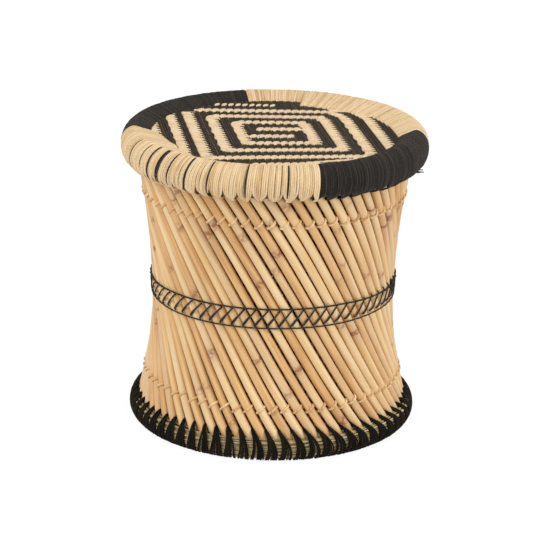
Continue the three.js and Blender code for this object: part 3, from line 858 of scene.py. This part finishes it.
def waist_strokes():
    """One stroke over each reed. Its height and angle go from foot to head with the share of the way, and it
    lies a little off the reeds, less a bell curve at each end. Feet and heads shift at the sides."""
    share = np.linspace(0, 1, 14)
    leftness = -np.cos((EVERY_REED - 0.5) * GAP + reed_turn(WAIST_LOW))
    rightness = fade(-leftness, 0.55, 1)
    foot = WAIST_LOW + 1.8 - 2.6 * np.minimum(leftness, 0) + draw.normal(0, 0.4, (REEDS, 1))
    head = WAIST_HIGH - 0.5 - 3.4 * np.maximum(leftness, 0) + 3.5 * rightness
    head = head + draw.normal(0, 0.5, (REEDS, 1))
    height = foot + (head - foot) * share
    foot_angle = (EVERY_REED - 0.5) * GAP + reed_turn(foot)
    head_angle = (EVERY_REED + 1.5) * GAP + reed_turn(head)
    angle = foot_angle + (head_angle - foot_angle) * share ** (1 + 0.25 * leftness)
    off = STROKE_OFF - STROKE_DIVE * (np.exp(-(share / 0.06) ** 2) + np.exp(-((1 - share) / 0.05) ** 2))
    thick = 1.1 + 0.65 * np.exp(-((share - 0.28) / 0.3) ** 2) - 0.5 * rightness * share ** 4
    return tube(polar(reach(height) + off, angle, height), thick, 0.95, outward(angle), 6)


def cord_knots():
    """A small knot on the upper cord at each stroke's head: a short tube whose thickness is a sine."""
    share = np.linspace(0, 1, 5)
    thick = 1.75 * np.sin(np.pi * np.clip(share, 0.12, 0.88))
    angle = (EVERY_REED + 1.5) * GAP + reed_turn(WAIST_HIGH) + (share - 0.5) * 0.26 * GAP
    path = polar(reach(WAIST_HIGH) + 1.9, angle, WAIST_HIGH - UPPER_HANG * sag(angle))
    return tube(path, thick, thick * 0.8, outward(angle), 6)


lacing = [waist_strokes(), cord_knots()]
upper_cord = hoop_cord(WAIST_HIGH, 1.4, 1.15, wave=0.5, hang=UPPER_HANG)
lower_cord = hoop_cord(WAIST_LOW, 1.2, 1.0, wave=0.5, hang=-LOWER_LIFT)
piece("waist_cord_upper", [upper_cord], black_cord, "black_cord", "upper_waist_cord")
piece("waist_cord_lower", [lower_cord], black_cord, "black_cord", "lower_waist_cord")
piece("waist_strokes", lacing, black_cord, "black_cord", "waist_lacing")

# %% [markdown]
# ## The knot at the side
# The waist cord ends in a rough knot. A sculpted lump could stand for it, but it is wound as the real one is:
# the cord goes round its own end from the bottom up, a coil whose radius is a sine that is nothing at both
# ends. Two short tails come out of it.

# %% Knot and tails
KNOT_ANGLE, KNOT_Z, KNOT_R = -0.272, 200.5, 169.2
KNOT_TURNS, KNOT_RADIUS, KNOT_HEIGHT, KNOT_SLANT = 6, 2.5, 15, 3.5


def side_knot():
    """A coil: aside = radius * cos + slant, out = radius * sin, and the height grows with the share."""
    share = np.linspace(0, 1, 90)
    coil = KNOT_RADIUS * np.sin(np.pi * np.clip(share, 0.03, 0.97)) ** 0.7
    aside = coil * np.cos(TURN * KNOT_TURNS * share) + KNOT_SLANT * (share - 0.5)
    out = coil * np.sin(TURN * KNOT_TURNS * share)
    path = polar(KNOT_R + out, KNOT_ANGLE + aside / KNOT_R, KNOT_Z + KNOT_HEIGHT * (share - 0.5))[None]
    return tube(path, 1.7, 1.5, outward(np.full_like(share, KNOT_ANGLE)), 6)


def knot_tails():
    """Two ends, one down and one up, that lean apart, stand off by a sine and grow thin by a square."""
    share = np.linspace(0, 1, 14)[None]
    angle = KNOT_ANGLE + np.array([[-1.0], [1.5]]) * (1 + 2.5 * share) / KNOT_R
    height = KNOT_Z + np.array([[-5.0], [5.0]]) + np.array([[-6.0], [7.0]]) * share
    path = polar(KNOT_R - 0.5 + 1.5 * np.sin(np.pi * share), angle, height)
    return tube(path, 1.3 - 0.8 * share ** 2, 1.2 - 0.8 * share ** 2, outward(angle), 6)


piece("waist_knot_cord", [side_knot(), knot_tails()], black_cord, "black_cord", "waist_knot")

# %% [markdown]
# ## The twines
# Below the rim and above the base, a natural twine ties each reed: it loops once round the reed and goes on
# behind it. One path could do both, but would cut into its neighbours. So the loops are closed tubes square
# to the reed, and a thin hoop joins them in the gaps.

# %% Twine loops
LOOP_POINTS = 16
TWINE_THICK, LINK_THICK, LINK_INSET = 1.75, 1.1, 9.5


def twine_loops(height, thick):
    """A loop round each reed: reed middle + (out * cos + across * sin) * (reed radius + twine radius)."""
    height = height + draw.normal(0, 0.9, (REEDS, 1))
    middle = reed_path(0, EVERY_REED, 1, OUTER_RADIUS, height)
    axis = unit(reed_path(0, EVERY_REED, 1, OUTER_RADIUS, height + 1) - middle)
    out = outward(np.arctan2(middle[..., 1], middle[..., 0]))
    across = unit(np.cross(axis, out))
    out = np.cross(across, axis)
    angle = TURN * np.arange(LOOP_POINTS)[None, :, None] / LOOP_POINTS
    ring = out * np.cos(angle) + across * np.sin(angle)
    path = middle + ring * (OUTER_RADIUS + thick * 0.6) + axis * 1.5 * np.sin(angle)
    tone = draw.uniform(0, 1, (REEDS, 1))
    return tube(path, thick, thick * 0.8, ring, 6, closed=True, look=(tone, 0, 0))


for name, height in (("upper", 326), ("lower", 66)):
    joined = [twine_loops(height, TWINE_THICK), hoop_cord(height, -LINK_INSET, LINK_THICK, points=132)]
    piece(f"{name}_twine_loops", joined, twine_cord, "twine", f"{name}_twine")

# %% [markdown]
# ## A loose end
# Hand-bound cord leaves ends: one frayed black end hangs under the rim at the right. It could be left out,
# but it is what shows that the binding is cord. Its three plies part from one point.

# %% The frayed end
END_DEGREES, END_R, END_Z = -9, 188, 363


def frayed_end():
    """Three plies that start under the rim: they part by a square, grow outward and sag by a sine."""
    share = np.linspace(0, 1, 12)[None]
    angle = np.radians(END_DEGREES) + np.array([[-3.0], [0.5], [3.4]]) * share ** 2 / 195
    radius = END_R + 17 * share * np.array([[1.0], [0.9], [0.75]])
    height = END_Z - np.array([[4.0], [1.5], [6.0]]) * np.sin(2.2 * share)
    thick = 1.3 - 0.6 * share
    return tube(polar(radius, angle, height), thick, thick, outward(angle), 5)


piece("rim_cord_end", [frayed_end()], black_cord, "black_cord")

# %% [markdown]
# ## Floor and light
# The photograph is a plain white studio picture. A ring of lamps could light it, but the world is simpler as
# the soft light, and two large lamps give the reeds their round shading. The camera sees the world as white,
# and the floor nearly so, which keeps a faint shadow where the stool stands.

# %% World
WORLD_LEVEL = 0.62


def seen_plainly(tree):
    """1 for a ray that comes from the camera, or by way of a mirror or glass, else 0."""
    rays = add(tree, "LightPath").outputs
    seen = calc(tree, "MAXIMUM", rays["Is Camera Ray"], rays["Is Glossy Ray"])
    return calc(tree, "MAXIMUM", seen, rays["Is Transmission Ray"])


world = bpy.data.worlds.new("studio")
bpy.context.scene.world = world
world.use_nodes = True
background = world.node_tree.nodes["Background"]
world_strength = weigh(world.node_tree, WORLD_LEVEL, (seen_plainly(world.node_tree), 1 - WORLD_LEVEL))
world.node_tree.links.new(world_strength, background.inputs["Strength"])
background.inputs["Color"].default_value = (1, 1, 1, 1)
print("world", WORLD_LEVEL, "as light")

# %% Floor
FLOOR_HALF, FLOOR_GREY = 8, 0.85
FLOOR_GLOW, GLOW_SHARE = 1.1, 0.82
DARK_RADIUS = 0.18


def white_floor(half):
    """A level square at z = 0, from its four corners. It glows white for the camera, but not inside the
    stool's own ring, where the real floor is dark."""
    corners = np.array([(-1, -1, 0), (1, -1, 0), (1, 1, 0), (-1, 1, 0)]) * half
    mesh = bpy.data.meshes.new("floor")
    mesh.from_pydata(corners.tolist(), [], [(0, 1, 2, 3)])
    made = bpy.data.objects.new("floor", mesh)
    bpy.context.collection.objects.link(made)
    material, tree, shader = new_material("floor_white", 1, 0)
    shader.inputs["Base Color"].default_value = (FLOOR_GREY, FLOOR_GREY, FLOOR_GREY, 1)
    place = add(tree, "TexCoord").outputs["Object"]
    from_axis = add(tree, "VectorMath", {0: place}, operation="LENGTH").outputs["Value"]
    glowing = calc(tree, "MULTIPLY", seen_plainly(tree), GLOW_SHARE)
    glowing = calc(tree, "MULTIPLY", glowing, calc(tree, "GREATER_THAN", from_axis, DARK_RADIUS))
    glow = add(tree, "Emission", {"Color": (1, 1, 1, 1), "Strength": FLOOR_GLOW})
    mixed = add(tree, "MixShader", {0: glowing, 1: shader.outputs[0], 2: glow.outputs[0]})
    tree.links.new(mixed.outputs[0], tree.nodes["Material Output"].inputs["Surface"])
    mesh.materials.append(material)


white_floor(FLOOR_HALF)
print("floor", 2 * FLOOR_HALF, "m wide")


# %% Lamps
def soft_lamp(name, place, size, power):
    """A square lamp that faces the middle of the stool. size is in metres and power in watts."""
    lamp = bpy.data.lights.new(name, "AREA")
    lamp.size, lamp.energy = size, power
    made = bpy.data.objects.new(name, lamp)
    made.location = place
    made.rotation_euler = (Vector((0, 0, 0.2)) - made.location).to_track_quat("-Z", "Y").to_euler()
    bpy.context.collection.objects.link(made)
    print(name, "lamp", power, "W")


soft_lamp("key", (-2.1, -1.8, 2.5), 1.6, 38)
soft_lamp("fill", (2.5, -1.4, 1.9), 1.8, 36)
bpy.context.scene.view_settings.view_transform = "Standard"
